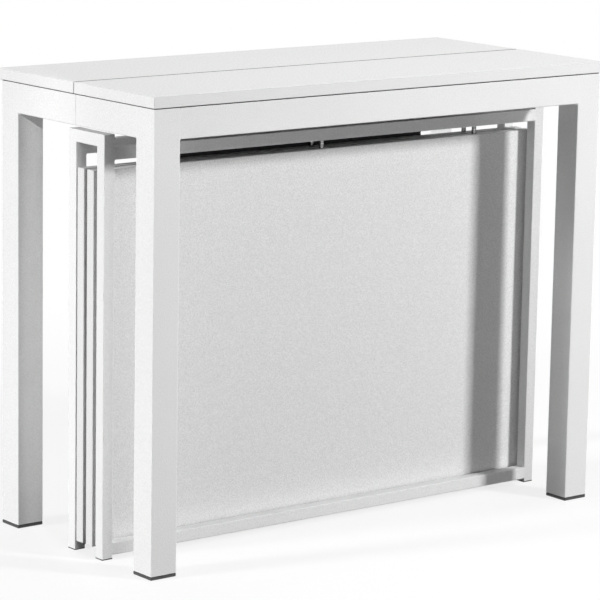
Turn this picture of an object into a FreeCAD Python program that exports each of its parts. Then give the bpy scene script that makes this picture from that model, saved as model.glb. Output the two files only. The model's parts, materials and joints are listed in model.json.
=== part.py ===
# Extending console table: two half tables on telescopic runners, and a rack for the extension leaves.
# The origin is on the floor under the middle of the closed table.
# X runs along the table, Y from front to back, Z up.
import FreeCAD, Part
import os

Vector = FreeCAD.Vector
ALONG_X = Vector(1, 0, 0)
ALONG_Y = Vector(0, 1, 0)
ALONG_Z = Vector(0, 0, 1)
NEAR = 0.1

# Whole table
table_height = 750
top_length = 920
top_depth = 430
top_thickness = 18
top_round = 0.8
seam_gap = 2

# Frame of square tube
tube_size = 48
tube_wall = 2
tube_round = 1.5
weld_round = 4
top_overhang = 4
frame_joint_gap = 0.4
shadow_gap = 2
spacer_width = 14
spacer_setback = 1.5

# Leg glides and closing caps
glide_height = 6
glide_chamfer = 1
plug_depth = 18
plug_clearance = 0.3
cap_thickness = 2

# Telescopic runners
runner_sections = 7
runner_height = 40
runner_thickness = 10
runner_air_gap = 1
runner_end_clearance = 3
runner_top_clearance = 0.5
slot_mouth = 10
slot_lip = 2.5
slot_chamber_height = 16
slot_chamber_depth = 4
slot_end_wall = 4
slide_clearance = 0.4
stop_clearance = 0.5
mount_plate_thickness = 2
mount_plate_margin = 10
bracket_thickness = 2.5
bracket_reach = 32
bracket_length = 50

# Extension leaves and their dowels
leaf_count = 2
leaf_inset = 5
leaf_headroom = 19
dowel_diameter = 8
dowel_seat = 20
dowel_reach = 16
dowel_spacing = 330
dowel_clearance = 0.4
dowel_tip_chamfer = 1

# Leaf rack of slim square tube
rack_center_y = -26
rack_end_inset = 3
rack_headroom = 6.5
rack_tube = 20
rack_wall = 1.5
rack_round = 1.5
rack_weld_round = 3
rack_pad_height = 2
rack_bottom_bar_height = 6.5
rear_leaf_gap = 4
leaf_gap = 8.5
strap_width = 30
strap_thickness = 4
strap_height = 9.5
strap_spacing = 310
felt_thickness = 3
backstop_length = 570
backstop_shift_x = -42
backstop_height = 50
backstop_thickness = 3
backstop_margin = 2
backstop_screw_count = 4
backstop_screw_inset = 33

# Screws
top_screw_shank = 5
top_screw_head = 9
top_screw_head_height = 3.5
top_screw_grip = 12
top_screw_access = 13
top_screw_spacing = 300
flat_screw_shank = 4
flat_screw_head = 8
flat_screw_head_height = 2.5
flat_screw_bite = 4
flat_screw_edge = 6.5
screw_clearance = 0.4

# Derived places
frame_length = top_length - 2 * top_overhang
frame_depth = top_depth - 2 * top_overhang
frame_left = -frame_length / 2
frame_front = -frame_depth / 2
frame_top = table_height - top_thickness - shadow_gap
apron_bottom = frame_top - tube_size
inner_left = frame_left + tube_size
inner_front = frame_front + tube_size
top_bottom = table_height - top_thickness
top_middle = table_height - top_thickness / 2
half_edge = -seam_gap / 2
frame_half_end = -frame_joint_gap / 2
end_apron_end = frame_half_end - cap_thickness

# The rack stands just inside the left legs and is as long as the leaves.
# The leaves stand on edge between the felt and the rack's top bars.
leaf_length = top_length - 2 * leaf_inset
rack_left = frame_left + rack_end_inset
rack_right = rack_left + leaf_length
rack_middle = (rack_left + rack_right) / 2
rack_height = apron_bottom - rack_headroom
end_bar_bottom = rack_height - rack_tube
top_bar_bottom = end_bar_bottom - rack_tube
felt_top = strap_height + strap_thickness + felt_thickness
leaf_top = top_bar_bottom - leaf_headroom
leaf_depth = leaf_top - felt_top
rack_inside = rear_leaf_gap + leaf_count * (top_thickness + leaf_gap)
rack_inner_front = rack_center_y - rack_inside / 2
rack_inner_rear = rack_center_y + rack_inside / 2
rack_front = rack_inner_front - rack_tube
dowel_places = [-dowel_spacing, 0, dowel_spacing]
strap_places = [-strap_spacing, 0, strap_spacing]

runner_length = frame_depth - 2 * tube_size - 2 * runner_end_clearance
runner_pitch = runner_thickness + runner_air_gap
runner_top = top_bottom - runner_top_clearance
runner_bottom = runner_top - runner_height
runner_middle = (runner_top + runner_bottom) / 2
runner_left = inner_left + mount_plate_thickness
stage_travel = leaf_count * leaf_depth / (runner_sections - 1)
slot_front = -runner_length / 2 + slot_end_wall
slot_rear = runner_length / 2 - slot_end_wall
tongue_length = slot_rear - slot_front - stage_travel - 2 * stop_clearance


def box(x0, x1, y0, y1, z0, z1):
    return Part.makeBox(x1 - x0, y1 - y0, z1 - z0, Vector(x0, y0, z0))


def rod(diameter, length, start, direction):
    return Part.makeCylinder(diameter / 2, length, start, direction)


def round_along(shape, axis, radius):
    edges = [edge for edge in shape.Edges if edge.tangentAt(edge.FirstParameter).cross(axis).Length < NEAR]
    return shape.makeFillet(radius, edges)


def tube(x0, x1, y0, y1, z0, z1, axis, wall, radius):
    outside = round_along(box(x0, x1, y0, y1, z0, z1), axis, radius)
    side = [0 if axis == along else wall for along in (ALONG_X, ALONG_Y, ALONG_Z)]
    inside = box(x0 + side[0], x1 - side[0], y0 + side[1], y1 - side[1], z0 + side[2], z1 - side[2])
    return outside.cut(inside)


def board(x0, x1, y0, y1, z0, z1):
    plain = box(x0, x1, y0, y1, z0, z1)
    return plain.makeFillet(top_round, plain.Edges)


def weld(corner, along_bar, along_leg, depth_axis, depth, radius):
    # A concave corner fillet: the square corner less the circle that touches both faces.
    far = corner + along_bar * radius
    low = corner + along_leg * radius
    center = far + along_leg * radius
    middle = center - (along_bar + along_leg) * (radius / 2 ** 0.5)
    edges = [Part.makeLine(corner, far), Part.Arc(far, middle, low).toShape(), Part.makeLine(low, corner)]
    return Part.Face(Part.Wire(edges)).extrude(depth_axis * depth)


def flush_weld(x, y, z, toward_post, across_post, length, radius):
    # Ground flush: it fills the rounded edge of an upright post beside the end of a bar.
    return weld(Vector(x, y, z), toward_post, across_post, ALONG_Z, length, radius)


def mirror_x(shape):
    return shape.mirror(Vector(0, 0, 0), ALONG_X)


def mirror_y(shape):
    return shape.mirror(Vector(0, 0, 0), ALONG_Y)


def both_ends(shape):
    return [shape, mirror_x(shape)]


def cut_all(shape, tools):
    for tool in tools:
        shape = shape.cut(tool)
    return shape


def save(name, shapes):
    shape = shapes if isinstance(shapes, Part.Shape) else Part.makeCompound(shapes)
    shape.exportStep(f"parts/{name}.step")


# Top screws stand inside the tubes, with their heads under the tube's upper wall.
def top_screw(x, y):
    wall_under = frame_top - tube_wall
    shank_length = tube_wall + shadow_gap + top_screw_grip
    head_start = Vector(x, y, wall_under - top_screw_head_height)
    head = rod(top_screw_head, top_screw_head_height, head_start, ALONG_Z)
    return head.fuse(rod(top_screw_shank, shank_length, Vector(x, y, wall_under), ALONG_Z))


def top_screw_hole(x, y):
    bore = top_screw_shank + 2 * screw_clearance
    depth = tube_wall + shadow_gap + top_screw_grip + screw_clearance
    shank = rod(bore, depth, Vector(x, y, frame_top - tube_wall), ALONG_Z)
    access = rod(top_screw_access, tube_wall, Vector(x, y, apron_bottom), ALONG_Z)
    return shank.fuse(access)


apron_line = frame_front + tube_size / 2
end_line = frame_left + tube_size / 2
end_screw_y = (inner_front + half_edge) / 2
apron_screws = [(x, apron_line) for x in (-top_screw_spacing, 0, top_screw_spacing)]
end_screws = [(end_line, end_screw_y), (-end_line, end_screw_y)]


# Countersunk screws: the head is flush with the face at start and the shank runs along direction.
def flat_screw(start, direction, length):
    large = flat_screw_head / 2
    small = flat_screw_shank / 2
    head = Part.makeCone(large, small, flat_screw_head_height, start, direction)
    return head.fuse(rod(flat_screw_shank, length, start, direction))


def flat_screw_hole(start, direction, length):
    large = flat_screw_head / 2 + screw_clearance
    small = flat_screw_shank / 2 + screw_clearance
    sink = Part.makeCone(large, small, flat_screw_head_height, start, direction)
    return sink.fuse(rod(2 * small, length, start, direction))


# Frame of the front half, left side; the rest is mirrored from it.
flush_weld_bottom = apron_bottom + tube_round
flush_weld_length = tube_size - 2 * tube_round


def left_leg():
    return tube(frame_left, inner_left, frame_front, inner_front, glide_height, frame_top, ALONG_Z,
                tube_wall, tube_round)


def long_apron():
    bar = tube(inner_left, -inner_left, frame_front, inner_front, apron_bottom, frame_top, ALONG_X,
               tube_wall, tube_round)
    corner = Vector(inner_left, frame_front + tube_round, apron_bottom)
    bead = weld(corner, ALONG_X, -ALONG_Z, ALONG_Y, flush_weld_length, weld_round)
    outer = flush_weld(inner_left, frame_front, flush_weld_bottom, -ALONG_X, ALONG_Y,
                       flush_weld_length, tube_round)
    inner = flush_weld(inner_left, inner_front, flush_weld_bottom, -ALONG_X, -ALONG_Y,
                       flush_weld_length, tube_round)
    welds = both_ends(bead) + both_ends(outer) + both_ends(inner)
    bar = bar.fuse(welds).removeSplitter()
    return cut_all(bar, [top_screw_hole(x, y) for x, y in apron_screws])


def left_end_apron():
    bar = tube(frame_left, inner_left, inner_front, end_apron_end, apron_bottom, frame_top, ALONG_Y,
               tube_wall, tube_round)
    corner = Vector(frame_left + tube_round, inner_front, apron_bottom)
    bead = weld(corner, ALONG_Y, -ALONG_Z, ALONG_X, flush_weld_length, weld_round)
    outer = flush_weld(frame_left, inner_front, flush_weld_bottom, -ALONG_Y, ALONG_X,
                       flush_weld_length, tube_round)
    bar = bar.fuse([bead, outer]).removeSplitter()
    return bar.cut(top_screw_hole(*end_screws[0]))


def left_glide():
    pad = box(frame_left, inner_left, frame_front, inner_front, 0, glide_height)
    pad = round_along(pad, ALONG_Z, tube_round)
    rim = [edge for edge in pad.Edges if edge.BoundBox.ZMax < glide_height / 2]
    pad = pad.makeChamfer(glide_chamfer, rim)
    inset = tube_wall + plug_clearance
    plug = box(frame_left + inset, inner_left - inset, frame_front + inset, inner_front - inset,
               glide_height, glide_height + plug_depth)
    return pad.fuse(plug)


def left_end_cap():
    face = box(frame_left, inner_left, end_apron_end, frame_half_end, apron_bottom, frame_top)
    face = round_along(face, ALONG_Y, tube_round)
    inset = tube_wall + plug_clearance
    plug = box(frame_left + inset, inner_left - inset, end_apron_end - plug_depth, end_apron_end,
               apron_bottom + inset, frame_top - inset)
    return face.fuse(plug)


def spacer_strips():
    left = frame_left + spacer_setback
    front = frame_front + spacer_setback
    long_strip = box(left, -left, front, front + spacer_width, frame_top, top_bottom)
    end_strip = box(left, left + spacer_width, front + spacer_width, half_edge - spacer_setback,
                    frame_top, top_bottom)
    return [long_strip] + both_ends(end_strip)


def top_slab():
    slab = board(-top_length / 2, top_length / 2, -top_depth / 2, half_edge, top_bottom, table_height)
    return cut_all(slab, [top_screw_hole(x, y) for x, y in apron_screws + end_screws])


# Dowels point along direction from a seat in one board into a bore in the next.
def dowel(edge_point, direction):
    pin = rod(dowel_diameter, dowel_seat + dowel_reach, edge_point - direction * dowel_seat, direction)
    end = edge_point + direction * dowel_reach
    tip = [edge for edge in pin.Edges if edge.CenterOfMass.distanceToPoint(end) < NEAR]
    return pin.makeChamfer(dowel_tip_chamfer, tip)


def dowel_bore(edge_point, direction, depth):
    return rod(dowel_diameter + 2 * dowel_clearance, depth, edge_point, direction)


# One section of the left runner, counted from the end apron inwards.
def runner_section(number):
    outer = runner_left + number * runner_pitch
    inner = outer + runner_thickness
    bar = box(outer, inner, -runner_length / 2, runner_length / 2, runner_bottom, runner_top)
    if number < runner_sections - 1:
        bar = bar.cut(slot_void(inner))
    if number > 0:
        bar = bar.fuse(slot_tongue(outer - runner_air_gap, outer)).removeSplitter()
    return bar


def slot_void(face):
    half_mouth = slot_mouth / 2
    half_chamber = slot_chamber_height / 2
    mouth = box(face - slot_lip, face, slot_front, slot_rear,
                runner_middle - half_mouth, runner_middle + half_mouth)
    chamber = box(face - slot_lip - slot_chamber_depth, face - slot_lip, slot_front, slot_rear,
                  runner_middle - half_chamber, runner_middle + half_chamber)
    return mouth.fuse(chamber)


def slot_tongue(face, root):
    half_neck = slot_mouth / 2 - slide_clearance
    half_head = slot_chamber_height / 2 - slide_clearance
    start = slot_front + stop_clearance
    head_face = face - slot_lip - slide_clearance
    neck = box(head_face, root, start, start + tongue_length,
               runner_middle - half_neck, runner_middle + half_neck)
    head_back = face - slot_lip - slot_chamber_depth + slide_clearance
    head = box(head_back, head_face, start, start + tongue_length,
               runner_middle - half_head, runner_middle + half_head)
    return neck.fuse(head)


# The outermost section is screwed to the front half's end apron through a plate, clear of the rear half's.
plate_front = inner_front + mount_plate_margin
plate_rear = end_apron_end - plug_depth
runner_screw_heights = [runner_bottom + flat_screw_edge, runner_top - flat_screw_edge]
runner_screw_length = runner_thickness + mount_plate_thickness + tube_wall + flat_screw_bite
mount_screw_starts = [
    Vector(runner_left + runner_thickness, y, z)
    for y in (plate_front + mount_plate_margin, plate_rear - mount_plate_margin)
    for z in runner_screw_heights
]


def mount_screw_holes():
    return [flat_screw_hole(start, -ALONG_X, runner_screw_length) for start in mount_screw_starts]


def left_mount_plate():
    plate = box(inner_left, runner_left, plate_front, plate_rear, runner_bottom, runner_top)
    return cut_all(plate, mount_screw_holes())


# The innermost section is held to the rear apron by an angle.
bracket_outer = runner_left + (runner_sections - 1) * runner_pitch + runner_thickness
bracket_inner = bracket_outer + bracket_thickness
bracket_rear = -inner_front
bracket_front = bracket_rear - bracket_length
section_screw_y = (bracket_front + runner_length / 2) / 2
apron_screw_x = bracket_inner + (bracket_reach - bracket_thickness) / 2
section_screw_length = bracket_thickness + flat_screw_bite
apron_screw_length = bracket_thickness + tube_wall + flat_screw_bite
bracket_screws = [
    (Vector(bracket_inner, section_screw_y, z), -ALONG_X, section_screw_length)
    for z in runner_screw_heights
] + [
    (Vector(apron_screw_x, bracket_rear - bracket_thickness, z), ALONG_Y, apron_screw_length)
    for z in runner_screw_heights
]


def bracket_screw_holes():
    return [
        flat_screw_hole(start, direction, length + screw_clearance)
        for start, direction, length in bracket_screws
    ]


def left_rear_bracket():
    on_section = box(bracket_outer, bracket_inner, bracket_front, bracket_rear, runner_bottom, runner_top)
    on_apron = box(bracket_outer, bracket_outer + bracket_reach,
                   bracket_rear - bracket_thickness, bracket_rear, runner_bottom, runner_top)
    return cut_all(on_section.fuse(on_apron).removeSplitter(), bracket_screw_holes())


# Rack pieces
def rack_upright(x0, y0):
    post = box(x0, x0 + rack_tube, y0, y0 + rack_tube, rack_pad_height, rack_height)
    post = round_along(post, ALONG_Z, rack_round)
    inside = box(x0 + rack_wall, x0 + rack_tube - rack_wall, y0 + rack_wall, y0 + rack_tube - rack_wall,
                 rack_pad_height, rack_height - rack_wall)
    return post.cut(inside)


def rack_long_bar(y0, z0, weld_side):
    x0 = rack_left + rack_tube
    x1 = rack_right - rack_tube
    bar = tube(x0, x1, y0, y0 + rack_tube, z0, z0 + rack_tube, ALONG_X, rack_wall, rack_round)
    edge = z0 if weld_side < 0 else z0 + rack_tube
    depth = rack_tube - 2 * rack_round
    left_corner = Vector(x0, y0 + rack_round, edge)
    right_corner = Vector(x1, y0 + rack_round, edge)
    welds = [
        weld(left_corner, ALONG_X, ALONG_Z * weld_side, ALONG_Y, depth, rack_weld_round),
        weld(right_corner, -ALONG_X, ALONG_Z * weld_side, ALONG_Y, depth, rack_weld_round),
    ]
    for x, toward_post in ((x0, -ALONG_X), (x1, ALONG_X)):
        for y, across_post in ((y0, ALONG_Y), (y0 + rack_tube, -ALONG_Y)):
            welds.append(flush_weld(x, y, z0 + rack_round, toward_post, across_post, depth, rack_round))
    return bar.fuse(welds).removeSplitter()


def rack_end_bar(x0):
    bar = tube(x0, x0 + rack_tube, rack_inner_front, rack_inner_rear, end_bar_bottom, rack_height,
               ALONG_Y, rack_wall, rack_round)
    bottom = end_bar_bottom + rack_round
    length = rack_tube - 2 * rack_round
    welds = []
    for y, toward_post in ((rack_inner_front, -ALONG_Y), (rack_inner_rear, ALONG_Y)):
        for x, across_post in ((x0, ALONG_X), (x0 + rack_tube, -ALONG_X)):
            welds.append(flush_weld(x, y, bottom, toward_post, across_post, length, rack_round))
    return bar.fuse(welds).removeSplitter()


def rack_foot(x0, y0):
    pad = round_along(box(x0, x0 + rack_tube, y0, y0 + rack_tube, 0, rack_pad_height), ALONG_Z, rack_round)
    inset = rack_wall + plug_clearance
    plug = box(x0 + inset, x0 + rack_tube - inset, y0 + inset, y0 + rack_tube - inset,
               rack_pad_height, rack_pad_height + plug_depth)
    return pad.fuse(plug)


def cross_strap(x, z0, z1):
    middle = rack_middle + x
    half_width = strap_width / 2
    return box(middle - half_width, middle + half_width, rack_inner_front, rack_inner_rear, z0, z1)


backstop_face = rack_inner_rear - backstop_thickness
backstop_top = end_bar_bottom - backstop_margin
backstop_screw_z = top_bar_bottom + rack_tube / 2
backstop_screw_length = backstop_thickness + rack_wall + flat_screw_bite
backstop_left = rack_middle + backstop_shift_x - backstop_length / 2
backstop_screw_pitch = (backstop_length - 2 * backstop_screw_inset) / (backstop_screw_count - 1)
backstop_first_screw = backstop_left + backstop_screw_inset
backstop_screws = [
    Vector(backstop_first_screw + number * backstop_screw_pitch, backstop_face, backstop_screw_z)
    for number in range(backstop_screw_count)
]


def backstop_screw_holes():
    return [flat_screw_hole(start, ALONG_Y, backstop_screw_length) for start in backstop_screws]


def backstop_strip():
    strip = box(backstop_left, backstop_left + backstop_length, backstop_face, rack_inner_rear,
                backstop_top - backstop_height, backstop_top)
    return cut_all(strip, backstop_screw_holes())


# Leaves stand on edge in the rack, counted from the rear, dowels upwards.
def leaf_rear_face(number):
    return rack_inner_rear - rear_leaf_gap - number * (top_thickness + leaf_gap)


def leaf_dowel_points(number):
    y = leaf_rear_face(number) - top_thickness / 2
    return [Vector(rack_middle + x, y, leaf_top) for x in dowel_places]


def leaf_panel(number):
    rear = leaf_rear_face(number)
    panel = board(rack_left, rack_right, rear - top_thickness, rear, felt_top, leaf_top)
    for point in leaf_dowel_points(number):
        panel = panel.cut(dowel_bore(point, -ALONG_Z, dowel_seat))
        foot = point - ALONG_Z * leaf_depth
        panel = panel.cut(dowel_bore(foot, ALONG_Z, dowel_reach + dowel_clearance))
    return panel


def build():
    os.makedirs("parts", exist_ok=True)

    # Frame halves: the rear one is the front one mirrored.
    seam_dowel_points = [Vector(x, half_edge, top_middle) for x in dowel_places]
    front_slab = cut_all(top_slab(), [dowel_bore(p, -ALONG_Y, dowel_seat) for p in seam_dowel_points])
    rear_bores = [dowel_bore(p + ALONG_Y * seam_gap, ALONG_Y, dowel_reach) for p in seam_dowel_points]
    rear_slab = cut_all(mirror_y(top_slab()), rear_bores)
    front_end_apron = cut_all(left_end_apron(), mount_screw_holes())
    rear_end_apron = mirror_y(left_end_apron())
    rear_apron_holes = bracket_screw_holes() + [mirror_x(hole) for hole in bracket_screw_holes()]
    top_screws = [top_screw(x, y) for x, y in apron_screws + end_screws]

    save("front_left_leg", left_leg())
    save("front_right_leg", mirror_x(left_leg()))
    save("rear_left_leg", mirror_y(left_leg()))
    save("rear_right_leg", mirror_x(mirror_y(left_leg())))
    save("front_apron", long_apron())
    save("rear_apron", cut_all(mirror_y(long_apron()), rear_apron_holes))
    save("front_left_end_apron", front_end_apron)
    save("front_right_end_apron", mirror_x(front_end_apron))
    save("rear_left_end_apron", rear_end_apron)
    save("rear_right_end_apron", mirror_x(rear_end_apron))
    save("front_leg_glides", both_ends(left_glide()))
    save("rear_leg_glides", [mirror_y(glide) for glide in both_ends(left_glide())])
    save("front_end_caps", both_ends(left_end_cap()))
    save("rear_end_caps", [mirror_y(cap) for cap in both_ends(left_end_cap())])
    save("front_top_spacers", spacer_strips())
    save("rear_top_spacers", [mirror_y(strip) for strip in spacer_strips()])
    save("front_top_slab", front_slab)
    save("rear_top_slab", rear_slab)
    save("front_top_screws", top_screws)
    save("rear_top_screws", [mirror_y(screw) for screw in top_screws])
    save("seam_dowels", [dowel(p, ALONG_Y) for p in seam_dowel_points])

    # Runners, sections counted from 1 at the end apron.
    sections = [runner_section(number) for number in range(runner_sections)]
    sections[0] = cut_all(sections[0], mount_screw_holes())
    sections[-1] = cut_all(sections[-1], bracket_screw_holes())
    for number, section in enumerate(sections, 1):
        save(f"left_runner_section_{number}", section)
        save(f"right_runner_section_{number}", mirror_x(section))
    save("front_runner_plates", both_ends(left_mount_plate()))
    mount_screws = [flat_screw(start, -ALONG_X, runner_screw_length) for start in mount_screw_starts]
    save("front_runner_screws", mount_screws + [mirror_x(screw) for screw in mount_screws])
    save("rear_runner_brackets", both_ends(left_rear_bracket()))
    angle_screws = [flat_screw(*screw) for screw in bracket_screws]
    save("rear_runner_screws", angle_screws + [mirror_x(screw) for screw in angle_screws])

    # Leaf rack
    for side, x0 in (("left", rack_left), ("right", rack_right - rack_tube)):
        save(f"rack_front_{side}_upright", rack_upright(x0, rack_front))
        save(f"rack_rear_{side}_upright", rack_upright(x0, rack_inner_rear))
        save(f"rack_{side}_end_bar", rack_end_bar(x0))
    save("rack_front_top_bar", rack_long_bar(rack_front, top_bar_bottom, -1))
    save("rack_front_bottom_bar", rack_long_bar(rack_front, rack_bottom_bar_height, 1))
    rear_top_bar = rack_long_bar(rack_inner_rear, top_bar_bottom, -1)
    save("rack_rear_top_bar", cut_all(rear_top_bar, backstop_screw_holes()))
    save("rack_rear_bottom_bar", rack_long_bar(rack_inner_rear, rack_bottom_bar_height, 1))
    feet_x = (rack_left, rack_right - rack_tube)
    feet_y = (rack_front, rack_inner_rear)
    save("rack_feet", [rack_foot(x0, y0) for x0 in feet_x for y0 in feet_y])
    strap_top = strap_height + strap_thickness
    save("rack_cross_straps", [cross_strap(x, strap_height, strap_top) for x in strap_places])
    save("rack_felt_pads", [cross_strap(x, strap_top, felt_top) for x in strap_places])
    save("rack_backstop", backstop_strip())
    strip_screws = [flat_screw(start, ALONG_Y, backstop_screw_length) for start in backstop_screws]
    save("rack_backstop_screws", strip_screws)

    # Extension leaves
    for number, place in enumerate(("rear", "front")):
        save(f"{place}_leaf", leaf_panel(number))
        save(f"{place}_leaf_dowels", [dowel(point, ALONG_Z) for point in leaf_dowel_points(number)])


build()
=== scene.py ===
import json
import math
import bpy
import numpy as np
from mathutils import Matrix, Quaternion, Vector


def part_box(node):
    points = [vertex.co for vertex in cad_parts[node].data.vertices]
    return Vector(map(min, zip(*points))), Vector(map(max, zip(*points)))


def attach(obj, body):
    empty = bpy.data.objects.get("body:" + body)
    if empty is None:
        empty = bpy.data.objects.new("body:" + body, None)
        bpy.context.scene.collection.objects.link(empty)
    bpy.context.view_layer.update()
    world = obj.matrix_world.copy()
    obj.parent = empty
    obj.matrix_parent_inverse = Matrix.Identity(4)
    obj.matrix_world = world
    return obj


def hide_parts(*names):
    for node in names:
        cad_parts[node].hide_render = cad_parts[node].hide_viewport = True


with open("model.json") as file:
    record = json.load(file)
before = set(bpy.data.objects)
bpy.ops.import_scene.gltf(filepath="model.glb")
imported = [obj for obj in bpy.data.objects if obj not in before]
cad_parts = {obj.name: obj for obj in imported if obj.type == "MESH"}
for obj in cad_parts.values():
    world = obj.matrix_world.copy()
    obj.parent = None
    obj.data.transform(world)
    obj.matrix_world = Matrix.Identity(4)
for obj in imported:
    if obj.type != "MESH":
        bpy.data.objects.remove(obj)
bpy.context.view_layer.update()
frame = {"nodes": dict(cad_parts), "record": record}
print("frame loaded:", len(frame["nodes"]), "nodes")


# Node helpers: a tree is built by naming what feeds each socket.
def newMaterial(name):
    mat = bpy.data.materials.new(name)
    mat.use_nodes = True
    return mat, mat.node_tree


# A socket is given by its name, or as i0 for the first one.
def addNode(tree, kind, settings=None, **sockets):
    node = tree.nodes.new(kind)
    for key, value in (settings or {}).items():
        setattr(node, key, value)
    for key, value in sockets.items():
        plug(tree, node.inputs[int(key[1:]) if key[1:].isdigit() else key], value)
    return node


def plug(tree, socket, value):
    if isinstance(value, bpy.types.NodeSocket):
        tree.links.new(value, socket)
    else:
        socket.default_value = value


def maths(tree, operation, first, second=0.0):
    return addNode(tree, "ShaderNodeMath", {"operation": operation}, i0=first, i1=second).outputs[0]


def vectorMaths(tree, operation, first, second=(0.0, 0.0, 0.0)):
    return addNode(tree, "ShaderNodeVectorMath", {"operation": operation}, i0=first, i1=second).outputs[0]


def remap(tree, value, fromLow, fromHigh, toLow, toHigh, smooth=False):
    settings = {"interpolation_type": "SMOOTHSTEP" if smooth else "LINEAR"}
    limits = {"i1": fromLow, "i2": fromHigh, "i3": toLow, "i4": toHigh}
    return addNode(tree, "ShaderNodeMapRange", settings, i0=value, **limits).outputs[0]


def blendColours(tree, share, first, second):
    return addNode(tree, "ShaderNodeMix", {"data_type": "RGBA"}, i0=share, i6=first, i7=second).outputs[2]


def grey(level):
    return (level, level, level, 1.0)


def objectPoint(tree, stretch=(1, 1, 1)):
    point = tree.nodes.new("ShaderNodeTexCoord").outputs["Object"]
    if stretch == (1, 1, 1):
        return point
    return addNode(tree, "ShaderNodeMapping", Vector=point, Scale=stretch).outputs[0]


def objectAxis(tree, axis):
    return addNode(tree, "ShaderNodeSeparateXYZ", Vector=objectPoint(tree)).outputs[axis]


noiseSpread = (0.3, 0.7)   # most of a noise lies between these, so they become 0 and 1


def noise(tree, perMetre, detail, rough=0.5, stretch=(1, 1, 1)):
    node = addNode(tree, "ShaderNodeTexNoise", Vector=objectPoint(tree, stretch),
                   Scale=perMetre, Detail=detail, Roughness=rough)
    return remap(tree, node.outputs[0], *noiseSpread, 0.0, 1.0)


def bump(tree, height, strength, distance):
    return addNode(tree, "ShaderNodeBump", Strength=strength, Distance=distance, Height=height).outputs[0]


# Distance from the nearest edge of a box, on its faces: the middle one of the three distances to its walls.
def edgeDistance(tree, low, high):
    middle, half = (low + high) / 2, (high - low) / 2
    folded = vectorMaths(tree, "ABSOLUTE", vectorMaths(tree, "SUBTRACT", objectPoint(tree), tuple(middle)))
    inward = vectorMaths(tree, "SUBTRACT", tuple(half), folded)
    split = addNode(tree, "ShaderNodeSeparateXYZ", Vector=inward).outputs
    smaller = maths(tree, "MINIMUM", split[0], split[1])
    larger = maths(tree, "MAXIMUM", split[0], split[1])
    return maths(tree, "MAXIMUM", smaller, maths(tree, "MINIMUM", larger, split[2]))


# 1 on the ends that meet over the middle of the table, falling to 0 just past their edges
def meetingShare(tree, reach, fade):
    return remap(tree, maths(tree, "ABSOLUTE", objectAxis(tree, 1)), reach, reach + fade, 1.0, 0.0)


# Powder coat: orange peel bump, fine speckle, slow drift of shade, and a painted highlight along the edges.
powderCoat = {
    "shade": 0.85, "drift": 0.015, "driftPerMetre": 6.0, "speckle": 0.09, "specklePerMetre": 720.0,
    "edgeShade": 0.90, "edgeWidth": 0.0022, "wearPerMetre": 55.0, "leastWear": 0.25,
    "peelPerMetre": 520.0, "peelDepth": 0.00025, "peelStrength": 0.6,
    "rough": (0.46, 0.62), "gloss": 0.22,
    "jointReach": 0.0003, "jointFade": 0.0004, "jointShade": 0.45,
}


def powderCoatMaterial(name, low, high):
    p = powderCoat
    mat, tree = newMaterial(name)
    shader = tree.nodes["Principled BSDF"]
    drift = noise(tree, p["driftPerMetre"], detail=3.0)
    speck = noise(tree, p["specklePerMetre"], detail=3.0, rough=0.6)
    slow = remap(tree, drift, 0.0, 1.0, p["shade"] - p["drift"], p["shade"] + p["drift"])
    coat = maths(tree, "ADD", slow, remap(tree, speck, 0.0, 1.0, -p["speckle"], p["speckle"]))
    # painted highlight: the edges are drawn lighter, as if catching the light, and patchy along their length
    edgeHighlight = remap(tree, edgeDistance(tree, low, high), 0.0, p["edgeWidth"], 1.0, 0.0, True)
    highlightBreakup = remap(tree, noise(tree, p["wearPerMetre"], detail=4.0), 0.0, 1.0, p["leastWear"], 1.0)
    coat = blendColours(tree, maths(tree, "MULTIPLY", edgeHighlight, highlightBreakup), coat, grey(p["edgeShade"]))
    if "end_apron" in name:   # painted shade in the narrow gap where the two ends butt
        gapShade = meetingShare(tree, p["jointReach"], p["jointFade"])
        coat = blendColours(tree, gapShade, coat, grey(p["jointShade"]))
    plug(tree, shader.inputs["Base Color"], coat)
    plug(tree, shader.inputs["Roughness"], remap(tree, speck, 0.0, 1.0, *p["rough"]))
    peel = noise(tree, p["peelPerMetre"], detail=3.0)
    plug(tree, shader.inputs["Normal"], bump(tree, peel, p["peelStrength"], p["peelDepth"]))
    shader.inputs["Specular IOR Level"].default_value = p["gloss"]
    return mat


# Faced board: fine even grain with faint fibres along the board, and the hairline joint of the edge band.
# The slabs are drawn near-black underneath, painted shade under the top, and in and beside the seam where
# they meet, painted shade in the gap. On them the grain is drawn out across the table, full on the top and
# calmer on the edge band.
facedBoard = {
    "shade": 0.84, "leafShade": 0.79, "grain": 0.19, "grainPerMetre": 680.0,
    "fibreDrop": 0.054, "fibreShare": 0.3, "fibrePerMetre": 420.0, "alongBoard": (0.03, 1.0, 1.0),
    "bandJoint": 0.0010, "jointWidth": 0.0003, "jointShade": 0.58, "jointShare": 0.7,
    "fibreHeight": 0.4, "grainHeight": 0.6, "grainDepth": 0.00009, "grainStrength": 0.35,
    "rough": (0.70, 0.86), "gloss": 0.02,
    "acrossTop": (1.0, 0.3, 1.0), "bandGrain": 0.3, "topGrain": 0.6, "topSkin": (0.0006, 0.0001),
    "seamReach": 0.0018, "seamFade": 0.0004, "seamShade": 0.03, "endBand": (0.0028, 0.00224),
    "backingShade": 0.07, "backingDepth": (0.00005, 0.0003),
}


# Grain drawn towards its middle value, a half: less on the top than on the edge band
def slabGrain(tree, p, high):
    grain = noise(tree, p["grainPerMetre"], detail=3.0, rough=0.6, stretch=p["acrossTop"])
    under, over = (high[2] - depth for depth in p["topSkin"])
    share = remap(tree, objectAxis(tree, 2), under, over, p["bandGrain"], p["topGrain"])
    return maths(tree, "ADD", 0.5, maths(tree, "MULTIPLY", share, maths(tree, "SUBTRACT", grain, 0.5)))


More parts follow.
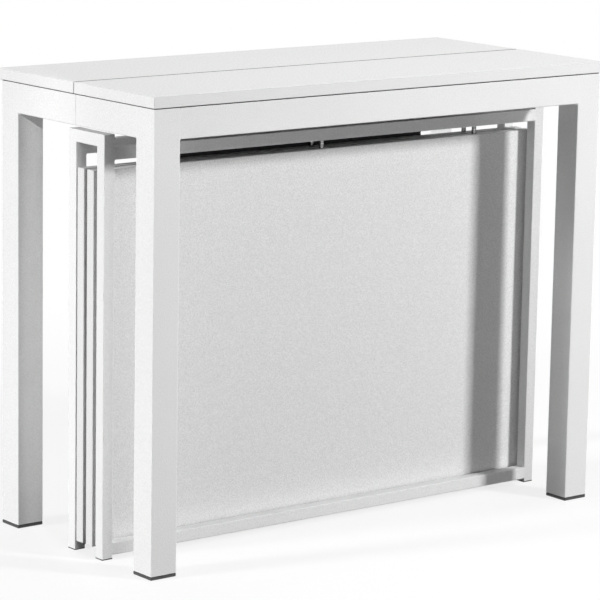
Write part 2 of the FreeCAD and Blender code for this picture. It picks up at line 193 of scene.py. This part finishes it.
def slabPaintedShade(tree, p, low, high, face):
    fromMiddle = maths(tree, "ABSOLUTE", objectAxis(tree, 0))
    start, stop = (high[0] - width for width in p["endBand"])
    inside = remap(tree, fromMiddle, start, stop, 1.0, 0.0)   # the end band's own section stays pale
    # painted shade: the meeting faces and a thin strip of the top beside them are drawn near-black, except on
    # the end bands
    seamShadow = maths(tree, "MULTIPLY", meetingShare(tree, p["seamReach"], p["seamFade"]), inside)
    face = blendColours(tree, seamShadow, face, grey(p["seamShade"]))
    # painted shade: the underside of each slab is drawn near-black, darkening the space under the top
    start, stop = (low[2] + depth for depth in p["backingDepth"])
    under = remap(tree, objectAxis(tree, 2), start, stop, 1.0, 0.0)
    return blendColours(tree, under, face, grey(p["backingShade"]))


def facedBoardMaterial(name, low, high):
    p = facedBoard
    mat, tree = newMaterial(name)
    shader = tree.nodes["Principled BSDF"]
    # painted shade: the leaves get a darker copy of the board colour for their place under the top
    shade = p["leafShade"] if "leaf" in name else p["shade"]
    isSlab = "slab" in name
    grain = slabGrain(tree, p, high) if isSlab else noise(tree, p["grainPerMetre"], detail=4.0, rough=0.62)
    face = blendColours(tree, grain, grey(shade - p["grain"]), grey(shade + p["grain"]))
    fibre = noise(tree, p["fibrePerMetre"], detail=4.0, rough=0.6, stretch=p["alongBoard"])
    fibreMix = maths(tree, "MULTIPLY", fibre, p["fibreShare"])
    face = blendColours(tree, fibreMix, face, grey(shade - p["fibreDrop"]))
    fromJoint = maths(tree, "SUBTRACT", edgeDistance(tree, low, high), p["bandJoint"])
    joint = remap(tree, maths(tree, "ABSOLUTE", fromJoint), 0.0, p["jointWidth"], p["jointShare"], 0.0, True)
    face = blendColours(tree, joint, face, grey(p["jointShade"]))
    if isSlab:
        face = slabPaintedShade(tree, p, low, high, face)
    plug(tree, shader.inputs["Base Color"], face)
    plug(tree, shader.inputs["Roughness"], remap(tree, grain, 0.0, 1.0, *p["rough"]))
    height = maths(tree, "ADD", maths(tree, "MULTIPLY", fibre, p["fibreHeight"]),
                   maths(tree, "MULTIPLY", grain, p["grainHeight"]))
    plug(tree, shader.inputs["Normal"], bump(tree, height, p["grainStrength"], p["grainDepth"]))
    shader.inputs["Specular IOR Level"].default_value = p["gloss"]
    return mat


# Moulded plastic and rubber: the grain of a spark-eroded mould, and a slow drift of shade.
moulded = {
    "black_glide": {"shade": 0.045, "drift": 0.012, "rough": (0.42, 0.62), "perMetre": 2200.0,
                    "depth": 0.00010, "gloss": 0.5},
    "white_plastic": {"shade": 0.80, "drift": 0.02, "rough": (0.40, 0.55), "perMetre": 2000.0,
                      "depth": 0.00006, "gloss": 0.5},
    # the spacer is black rubber, kept near-black also as painted shade so the gap under the top reads dark
    "dark_spacer": {"shade": 0.022, "drift": 0.008, "rough": (0.75, 0.92), "perMetre": 1500.0,
                    "depth": 0.00020, "gloss": 0.15},
    # the backstop's near-black is painted shade, standing in for the deep shade behind the leaves under the
    # top
    "dark_backstop": {"shade": 0.020, "drift": 0.005, "rough": (0.10, 0.20), "perMetre": 1800.0,
                      "depth": 0.00002, "gloss": 0.5},
}
mouldGrain = {"driftPerMetre": 60.0, "strength": 0.4}


def mouldedMaterial(name, p):
    mat, tree = newMaterial(name)
    shader = tree.nodes["Principled BSDF"]
    drift = noise(tree, mouldGrain["driftPerMetre"], detail=3.0)
    tone = blendColours(tree, drift, grey(p["shade"] - p["drift"]), grey(p["shade"] + p["drift"]))
    plug(tree, shader.inputs["Base Color"], tone)
    grain = noise(tree, p["perMetre"], detail=4.0, rough=0.6)
    plug(tree, shader.inputs["Roughness"], remap(tree, grain, 0.0, 1.0, *p["rough"]))
    plug(tree, shader.inputs["Normal"], bump(tree, grain, mouldGrain["strength"], p["depth"]))
    shader.inputs["Specular IOR Level"].default_value = p["gloss"]
    return mat


# Metal: fine scratches along the lay, clouds of tarnish.
metals = {
    "runner_aluminium": {"shade": 0.62, "tarnish": 0.10, "rough": (0.30, 0.48), "lay": (1.0, 0.02, 1.0),
                         "perMetre": 900.0},
    "zinc_steel": {"shade": 0.58, "tarnish": 0.22, "rough": (0.26, 0.44), "lay": (1.0, 1.0, 0.4),
                   "perMetre": 700.0},
    # the pins' steel is drawn dark: a painted dark reflection, standing in for the shaded surroundings it
    # mirrors
    "bright_steel": {"shade": 0.26, "tarnish": 0.20, "rough": (0.10, 0.20), "lay": (1.0, 1.0, 0.1),
                     "perMetre": 1500.0},
    "black_steel": {"shade": 0.045, "tarnish": 0.30, "rough": (0.36, 0.52), "lay": (1.0, 1.0, 1.0),
                    "perMetre": 900.0},
}
metalWear = {"cloudPerMetre": 45.0, "strength": 0.25, "depth": 0.00004}


def metalMaterial(name, p):
    mat, tree = newMaterial(name)
    shader = tree.nodes["Principled BSDF"]
    cloud = noise(tree, metalWear["cloudPerMetre"], detail=4.0)
    tone = blendColours(tree, cloud, grey(p["shade"]), grey(p["shade"] * (1 - p["tarnish"])))
    plug(tree, shader.inputs["Base Color"], tone)
    scratch = noise(tree, p["perMetre"], detail=4.0, rough=0.65, stretch=p["lay"])
    plug(tree, shader.inputs["Roughness"], remap(tree, scratch, 0.0, 1.0, *p["rough"]))
    plug(tree, shader.inputs["Normal"], bump(tree, scratch, metalWear["strength"], metalWear["depth"]))
    shader.inputs["Metallic"].default_value = 1.0
    return mat


# Needled felt: fibres matted in two directions, rough, with a soft sheen.
needledFelt = {"shade": 0.11, "darkFibre": 0.6, "paleFibre": 1.5, "perMetre": 900.0, "matting": 0.25,
               "depth": 0.0006, "strength": 0.9, "rough": 0.95, "sheen": 0.4}


def feltMaterial(name, p):
    mat, tree = newMaterial(name)
    shader = tree.nodes["Principled BSDF"]
    warp = noise(tree, p["perMetre"], detail=5.0, rough=0.7, stretch=(p["matting"], 1.0, 1.0))
    weft = noise(tree, p["perMetre"], detail=5.0, rough=0.7, stretch=(1.0, p["matting"], 1.0))
    fibres = maths(tree, "MULTIPLY", maths(tree, "ADD", warp, weft), 0.5)
    dark, pale = grey(p["shade"] * p["darkFibre"]), grey(p["shade"] * p["paleFibre"])
    plug(tree, shader.inputs["Base Color"], blendColours(tree, fibres, dark, pale))
    plug(tree, shader.inputs["Normal"], bump(tree, fibres, p["strength"], p["depth"]))
    shader.inputs["Roughness"].default_value = p["rough"]
    shader.inputs["Sheen Weight"].default_value = p["sheen"]
    return mat


finishes = {slotName: mouldedMaterial(slotName, p) for slotName, p in moulded.items()}
finishes.update({slotName: metalMaterial(slotName, p) for slotName, p in metals.items()})
finishes["grey_felt"] = feltMaterial("grey_felt", needledFelt)
fittedFinish = {"white_frame": powderCoatMaterial, "white_board": facedBoardMaterial}
slotOf = {row["node"]: row["material_slot"] for row in frame["record"]["subparts"]}
for nodeName, piece in frame["nodes"].items():
    slotName = slotOf[nodeName]
    if slotName in fittedFinish:   # fitted to the node's own edges
        mat = fittedFinish[slotName](slotName + "." + nodeName, *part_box(nodeName))
    else:
        mat = finishes[slotName]
    piece.data.materials.clear()
    piece.data.materials.append(mat)
print("finishes on", len(frame["nodes"]), "nodes")


# Quads between neighbouring rows of a grid of points; each row closes on itself.
def ringQuads(rows, columns):
    r = np.arange(rows - 1)[:, None]
    c = np.arange(columns)[None, :]
    beside = (c + 1) % columns
    corners = [r * columns + c, r * columns + beside, (r + 1) * columns + beside, (r + 1) * columns + c]
    return np.stack(np.broadcast_arrays(*corners), -1).reshape(-1, 4)


# A closed skin: rings joined by quads, and a fan of triangles from a pole at each end.
# The sum of signed tetrahedra over the triangles is its volume, and tells which way the faces point.
def closedSkin(rings, startPole, endPole):
    rows, columns = rings.shape[:2]
    points = np.vstack([rings.reshape(-1, 3), startPole, endPole])
    quads = ringQuads(rows, columns)
    c = np.arange(columns)
    beside = (c + 1) % columns
    lastRow = (rows - 1) * columns
    first = np.stack([np.full(columns, rows * columns), beside, c], -1)
    last = np.stack([np.full(columns, rows * columns + 1), lastRow + c, lastRow + beside], -1)
    triangles = np.vstack([quads[:, [0, 1, 2]], quads[:, [0, 2, 3]], first, last])
    a, b, d = (points[triangles[:, k]] - points.mean(0) for k in range(3))
    faces = [quads, first, last]
    if np.einsum("ij,ij->", a, np.cross(b, d)) < 0:
        faces = [block[:, ::-1] for block in faces]
    return points, faces


# Skins are pairs of points and blocks of faces, joined into one mesh.
def newPiece(name, skins):
    points, faces, count = [], [], 0
    for skinPoints, blocks in skins:
        points.append(skinPoints)
        for block in blocks:
            faces += (block + count).tolist()
        count += len(skinPoints)
    mesh = bpy.data.meshes.new(name)
    mesh.from_pydata(np.vstack(points).tolist(), [], faces)
    mesh.update()
    piece = bpy.data.objects.new(name, mesh)
    bpy.context.scene.collection.objects.link(piece)
    return piece


bodies = frame["record"]["behaviour"]["bodies"]
bodyOf = {nodeName: body for body, names in bodies.items() for nodeName in names}


# The piece stands for the node, moves with its body and has its finish.
# Creases sharper than the angle stay crisp.
def standFor(nodeName, skins, creaseDegrees=30.0):
    piece = newPiece(nodeName + "_made", skins)
    piece.data.shade_smooth()
    piece.data.set_sharp_from_angle(angle=math.radians(creaseDegrees))
    piece.data.materials.append(finishes[slotOf[nodeName]])
    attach(piece, bodyOf[nodeName])
    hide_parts(nodeName)
    return piece


leastGap = 1e-4    # solids of a node, and rings of a turned one, lie at least this far apart
sameDepth = 1e-5   # points closer than this along an axis are level


# Points of a node, sorted into its separate solids: along each axis in turn, twice over, wherever no
# triangle bridges a gap.
def solidsOf(nodeName):
    mesh = frame["nodes"][nodeName].data
    mesh.calc_loop_triangles()
    corners = np.empty(len(mesh.vertices) * 3)
    mesh.vertices.foreach_get("co", corners)
    index = np.empty(len(mesh.loop_triangles) * 3, int)
    mesh.loop_triangles.foreach_get("vertices", index)
    groups = [corners.reshape(-1, 3)[index.reshape(-1, 3)]]
    for axis in (0, 1, 2, 0, 1, 2):
        cut = []
        for group in groups:
            low, high = group[:, :, axis].min(1), group[:, :, axis].max(1)
            order = np.argsort(low)
            reach = np.maximum.accumulate(high[order])
            breaks = np.nonzero(low[order][1:] > reach[:-1] + leastGap)[0] + 1
            cut += [group[part] for part in np.split(order, breaks)]
        groups = cut
    return [group.reshape(-1, 3) for group in groups]


# A turned solid's axis is the side of its box that differs from the other two; it starts at its wider end.
def turnedFrame(points):
    low, high = points.min(0), points.max(0)
    size = high - low
    axis = int(np.argmax(np.abs(size - np.median(size))))
    along, across, up = np.roll(np.eye(3), -axis, 0)
    middle = (low + high) / 2
    offset = points - middle
    depth = offset @ along
    radius = np.hypot(offset @ across, offset @ up)
    reach = size[axis] / 2
    if radius[depth < -reach + sameDepth].max() < radius[depth > reach - sameDepth].max():
        along, depth = -along, -depth
    return middle - along * reach, along, across, up, depth + reach, radius


# Rings about an axis: the point at angle t is start + depth * along + radius * (cos t * across + sin t * up).
def turnedRings(start, along, across, up, depth, radius, angle):
    spokes = np.cos(angle)[:, None] * across + np.sin(angle)[:, None] * up
    return start + depth[:, None, None] * along + radius[:, :, None] * spokes


# Socket screws: a hexagon sunk in the head, a chamfered rim, and a shank cut by a helical thread.
# The hexagon's radius is its inner radius over the cosine of the angle from the nearest flat.
# The thread takes away half of one minus the cosine of the turns gone by along the depth, less the angle.
# Under the head the solid is as wide as the head on a cylinder head, and as the shank on a cone.
screwSet = {"socket": 0.46, "socketDepth": 0.6, "socketTaper": 0.94, "rim": 0.0003, "pitch": 0.0012,
            "threadDepth": 0.00035, "columns": 30, "ringsPerTurn": 6, "leastRings": 4, "tip": 0.0012,
            "tipRadius": 0.6}


def screwSkin(p, points):
    start, along, across, up, depth, radius = turnedFrame(points)
    length = depth.max()
    head = radius[depth < sameDepth].max()
    shank = radius[depth > length - sameDepth].max()
    headHeight = depth[depth > leastGap].min()
    under = radius[np.abs(depth - headHeight) < sameDepth].max()
    angle = 2 * np.pi * np.arange(p["columns"]) / p["columns"]
    flat = np.mod(angle + np.pi / 6, np.pi / 3) - np.pi / 6
    socket = p["socket"] * head / np.cos(flat)
    sink = p["socketDepth"] * headHeight
    threaded = length - headHeight - p["tip"]
    steps = max(p["leastRings"], int(threaded / p["pitch"] * p["ringsPerTurn"]))
    threadAt = headHeight + threaded * np.arange(1, steps + 1) / steps
    turns = 2 * np.pi * threadAt[:, None] / p["pitch"] - angle
    thread = shank - p["threadDepth"] * (0.5 - 0.5 * np.cos(turns))
    whole = np.ones(p["columns"])
    rows = [(sink, socket * p["socketTaper"]), (0.0, socket), (0.0, whole * (head - p["rim"])),
            (p["rim"], whole * head), (headHeight, whole * under), (headHeight, whole * shank)]
    rows += list(zip(threadAt, thread)) + [(length, whole * shank * p["tipRadius"])]
    depths = np.array([row[0] for row in rows])
    rings = turnedRings(start, along, across, up, depths, np.array([row[1] for row in rows]), angle)
    return closedSkin(rings, start + sink * along, start + length * along)


screwNodes = ("front_top_screws", "rear_top_screws", "front_runner_screws", "rear_runner_screws",
              "rack_backstop_screws")
for nodeName in screwNodes:
    standFor(nodeName, [screwSkin(screwSet, points) for points in solidsOf(nodeName)])

# Dowel pins: fluted where they sit in the board, smooth where they stand out, a ring groove, and a domed tip.
# A flute takes away the squared cosine of half the flute count times the angle, the groove is a bell curve,
# and the dome's radius is a power of the cosine.
dowelSet = {"seat": 0.020, "flutes": 14, "fluteDepth": 0.00022, "fluteFade": 0.002,
            "grooveAt": 0.0065, "grooveWidth": 0.0007, "grooveDepth": 0.00028,
            "dome": 0.0022, "domeRows": 7, "domePower": 0.6, "rim": 0.0004, "rows": 60, "columns": 56}


def dowelSkin(p, points):
    start, along, across, up, depth, radius = turnedFrame(points)
    length, full = depth.max(), radius.max()
    angle = 2 * np.pi * np.arange(p["columns"]) / p["columns"]
    at = np.linspace(0.0, 1.0, p["rows"])
    at = np.concatenate([[0.0], p["rim"] + (length - p["dome"] - p["rim"]) * at])
    flute = np.clip((p["seat"] - at) / p["fluteFade"], 0.0, 1.0) * p["fluteDepth"]
    groove = p["grooveDepth"] * np.exp(-((at - length + p["grooveAt"]) / p["grooveWidth"]) ** 2)
    rim = np.where(at < p["rim"], p["rim"], 0.0)
    body = full - (rim + groove)[:, None] - flute[:, None] * np.cos(p["flutes"] / 2 * angle) ** 2
    lift = np.linspace(0.0, np.pi / 2, p["domeRows"] + 2)[1:-1]
    dome = full * np.cos(lift)[:, None] ** p["domePower"] * np.ones(p["columns"])
    depths = np.concatenate([at, length - p["dome"] + p["dome"] * np.sin(lift)])
    rings = turnedRings(start, along, across, up, depths, np.vstack([body, dome]), angle)
    return closedSkin(rings, start, start + length * along)


for nodeName in ("seam_dowels", "rear_leaf_dowels", "front_leaf_dowels"):
    standFor(nodeName, [dowelSkin(dowelSet, points) for points in solidsOf(nodeName)])
print("screws and dowels turned")


# Rounded rectangles stacked up: each row has a height and an inset from the box, corners are quarter circles.
# An inset makes the corner tighter, down to a share of it.
def stackedRings(low, high, heights, insets, corner, steps=7, tightest=0.35):
    middle, half = (low + high)[:2] / 2, (high - low)[:2] / 2
    quarter = np.arange(4)[:, None] * np.pi / 2 + np.linspace(0.0, np.pi / 2, steps)
    signX, signY = np.array([[1], [-1], [-1], [1]]), np.array([[1], [1], [-1], [-1]])
    insets = np.asarray(insets)[:, None, None]
    bend = np.maximum(corner - insets, corner * tightest)
    x = middle[0] + signX * (half[0] - insets - bend) + bend * np.cos(quarter)
    y = middle[1] + signY * (half[1] - insets - bend) + bend * np.sin(quarter)
    z = np.broadcast_to(np.asarray(heights)[:, None, None], x.shape)
    return np.stack([x, y, z], -1).reshape(len(heights), -1, 3)


# Glides and feet: a dished sole, a bevelled rim, a shadow groove under the tube, and a ribbed plug inside it.
# Each row of the stack is a height over the floor and an inset, in metres. The groove starts and ends at
# multiples of its own depth below the tube, and the ribs turn at shares of their step.
glideSet = {"sole": 0.0008, "soleRim": 0.2, "bevel": 0.0010, "pad": 0.006, "groove": 0.0006,
            "grooveSpan": (2.2, 1.8), "wall": 0.0023, "corner": 0.0015, "ribs": 4, "ribDepth": 0.0006,
            "ribTurns": (0.25, 0.6, 0.75)}
footSet = {**glideSet, "sole": 0.0003, "bevel": 0.0005, "pad": 0.002, "groove": 0.0003, "wall": 0.0018,
           "ribDepth": 0.0004}


def glideSkin(p, points):
    low, high = points.min(0), points.max(0)
    rim = p["soleRim"] * (high[0] - low[0])
    grooveFrom, grooveTo = (p["pad"] - share * p["groove"] for share in p["grooveSpan"])
    rows = [(p["sole"], rim), (0.0, rim - p["sole"]), (0.0, p["bevel"]), (p["bevel"], 0.0),
            (grooveFrom, 0.0), (grooveTo, p["groove"]), (p["pad"], p["groove"]), (p["pad"], p["wall"])]
    ribStep = (high[2] - p["pad"]) / p["ribs"]
    inner = p["wall"] + p["ribDepth"]
    sink, rise, full = p["ribTurns"]
    for rib in range(p["ribs"]):
        foot = p["pad"] + rib * ribStep
        rows += [(foot + sink * ribStep, inner), (foot + rise * ribStep, inner),
                 (foot + full * ribStep, p["wall"]), (foot + ribStep, p["wall"])]
    heights, insets = zip(*rows)
    rings = stackedRings(low, high, heights, insets, p["corner"])
    middle = (low + high) / 2
    return closedSkin(rings, [middle[0], middle[1], p["sole"]], [middle[0], middle[1], high[2]])


for nodeName, p in (("front_leg_glides", glideSet), ("rear_leg_glides", glideSet), ("rack_feet", footSet)):
    standFor(nodeName, [glideSkin(p, points) for points in solidsOf(nodeName)])

# Felt pads: a strip with soft cut edges, drawn in a little towards the top and bottom, and slightly ragged.
# The edge draws in by one minus the square root of one minus the fourth power of the lift, and the
# raggedness adds two sines of the distance round the outline.
feltSet = {"corner": 0.003, "softness": 0.0009, "liftPower": 4, "rag": 0.00022, "ragWaves": (9, 23),
           "rows": 9, "fill": 0.9}


def feltSkin(p, points):
    low, high = points.min(0), points.max(0)
    lift = np.linspace(-1.0, 1.0, p["rows"])
    heights = (low[2] + high[2]) / 2 + (high[2] - low[2]) / 2 * lift
    section = np.sqrt(np.clip(1.0 - lift ** p["liftPower"], 0.0, 1.0))
    rings = stackedRings(low, high, heights, p["rag"] + p["softness"] * (1.0 - section), p["corner"])
    middle = (low + high) / 2
    around = np.linspace(0, 2 * np.pi, rings.shape[1], endpoint=False)
    wave = p["rag"] * sum(np.sin(count * around + count) for count in p["ragWaves"]) / 2
    outward = rings - middle
    outward[:, :, 2] = 0
    rings = rings + outward / np.linalg.norm(outward, axis=2, keepdims=True) * wave[None, :, None]
    return closedSkin(rings, [middle[0], middle[1], low[2]], [middle[0], middle[1], high[2]])


feltPads = standFor("rack_felt_pads", [feltSkin(feltSet, points) for points in solidsOf("rack_felt_pads")])
print("glides, feet and felt pads made")


# An object that looks from its place at its aim
def putLooking(name, data, p, rollDegrees=0.0):
    thing = bpy.data.objects.new(name, data)
    look = Vector(p["aim"]) - Vector(p["place"])
    thing.location = p["place"]
    thing.rotation_mode = "QUATERNION"
    roll = Quaternion((0, 0, 1), math.radians(rollDegrees))
    thing.rotation_quaternion = look.to_track_quat("-Z", "Y") @ roll
    bpy.context.scene.collection.objects.link(thing)
    return thing


# Camera: a long lens at the picture's angle, with the picture's slight roll.
cameraSet = {"place": (-3.1565, -4.0066, 1.3439), "aim": (-0.00777, 0.0, 0.3590), "rollDegrees": 0.98,
             "lens": 188.08, "sensor": 36.0, "farClip": 60.0}


def makeCamera(p):
    data = bpy.data.cameras.new("camera")
    data.lens = p["lens"]
    data.sensor_width = p["sensor"]
    data.clip_end = p["farClip"]
    bpy.context.scene.camera = putLooking("camera", data, p, p["rollDegrees"])


makeCamera(cameraSet)

# Lamps: a key from the front right, a wide one overhead, and a wide low fill from the front.
lamps = {
    "key": {"place": (1.97, -3.46, 2.11), "aim": (0.0, -0.1, 0.42), "size": (0.45, 0.45), "watts": 138.0},
    "overhead": {"place": (0.0, 0.3, 3.6), "aim": (0.0, 0.301, 0.0), "size": (2.0, 2.0), "watts": 27.0},
    "frontFill": {"place": (-0.7, -5.2, 0.6), "aim": (0.0, 0.0, 0.40), "size": (1.8, 0.7), "watts": 42.0},
}
# Far lamps for the left end, the back and the right end have no fall-off, so pieces that are pulled out
# keep their tone; their watts are per square metre.
farLamps = {
    "leftFar": {"place": (-5.0, 1.0, 1.75), "aim": (-0.4, 0.0, 0.42), "softDegrees": 9.0, "watts": 3.2},
    "backFar": {"place": (0.5, 5.2, 0.8), "aim": (0.0, 0.0, 0.4), "softDegrees": 15.0, "watts": 1.35},
    "rightFar": {"place": (5.2, 0.6, 0.9), "aim": (0.0, 0.0, 0.4), "softDegrees": 15.0, "watts": 1.25},
}
# A cone of light, flattened to an upright slit, on the rear left leg
legSpot = {"place": (-1.091, -2.017, 1.082), "aim": (-0.424, 0.163, 0.34), "coneDegrees": 26.0,
           "flatten": 0.06, "softEdge": 0.5, "radius": 0.02, "watts": 66.0}
skyStrength = 0.08


def hangLamp(name, kind, p):
    data = bpy.data.lights.new(name, kind)
    data.energy = p["watts"]
    return putLooking(name, data, p)


for lampName, lampSet in lamps.items():
    data = hangLamp(lampName, "AREA", lampSet).data
    data.shape = "RECTANGLE"
    data.size, data.size_y = lampSet["size"]
for lampName, lampSet in farLamps.items():
    hangLamp(lampName, "SUN", lampSet).data.angle = math.radians(lampSet["softDegrees"])
spot = hangLamp("legSpot", "SPOT", legSpot)
spot.data.spot_size = math.radians(legSpot["coneDegrees"])
spot.data.spot_blend = legSpot["softEdge"]
spot.data.shadow_soft_size = legSpot["radius"]
spot.scale = (legSpot["flatten"], 1.0, 1.0)


# 1 for rays that see the backdrop directly, in a mirror or through glass
def seenShare(tree):
    path = tree.nodes.new("ShaderNodeLightPath").outputs
    seen = maths(tree, "MAXIMUM", path["Is Camera Ray"], path["Is Glossy Ray"])
    return maths(tree, "MAXIMUM", seen, path["Is Transmission Ray"])


# Sky: weak and even as light, white where it is seen
world = bpy.data.worlds.new("studio")
bpy.context.scene.world = world
world.use_nodes = True
sky = world.node_tree.nodes["Background"]
sky.inputs["Color"].default_value = grey(1.0)
skyLevel = remap(world.node_tree, seenShare(world.node_tree), 0.0, 1.0, skyStrength, 1.0)
plug(world.node_tree, sky.inputs["Strength"], skyLevel)

# Floor: a pale disc, ring by ring; radii grow with the square, so the rings lie closer near the object.
# There it shows the shadow, and further out it fades into the white.
floorSet = {"radius": 7.0, "innermost": 0.01, "rings": 40, "spokes": 96, "paintSeen": 0.95,
            "paintBounce": 0.08, "shadowShare": 0.22, "fadeFrom": 0.7, "fadeTo": 1.9}


def makeFloor(p):
    radii = p["radius"] * np.linspace(p["innermost"], 1.0, p["rings"])[:, None] ** 2
    angle = np.linspace(0, 2 * np.pi, p["spokes"], endpoint=False)
    rings = np.stack([radii * np.cos(angle), radii * np.sin(angle), np.zeros_like(radii * angle)], -1)
    floor = newPiece("floor", [(rings.reshape(-1, 3), [ringQuads(p["rings"], p["spokes"])])])
    mat, tree = newMaterial("floorPaint")
    tree.nodes.remove(tree.nodes["Principled BSDF"])
    tone = blendColours(tree, seenShare(tree), grey(p["paintBounce"]), grey(p["paintSeen"]))
    paint = addNode(tree, "ShaderNodeBsdfDiffuse", Color=tone)
    white = addNode(tree, "ShaderNodeEmission", Color=grey(1.0), Strength=1.0)
    length = addNode(tree, "ShaderNodeVectorMath", {"operation": "LENGTH"}, i0=objectPoint(tree))
    reach = length.outputs["Value"]
    plain = remap(tree, reach, p["fadeFrom"], p["fadeTo"], 1.0 - p["shadowShare"], 1.0, True)
    share = maths(tree, "MULTIPLY", plain, seenShare(tree))
    mixed = addNode(tree, "ShaderNodeMixShader", i0=share, i1=paint.outputs[0], i2=white.outputs[0])
    plug(tree, tree.nodes["Material Output"].inputs["Surface"], mixed.outputs[0])
    floor.data.materials.append(mat)


makeFloor(floorSet)
bpy.context.scene.view_settings.view_transform = "Standard"
print("camera, lamps and floor set")
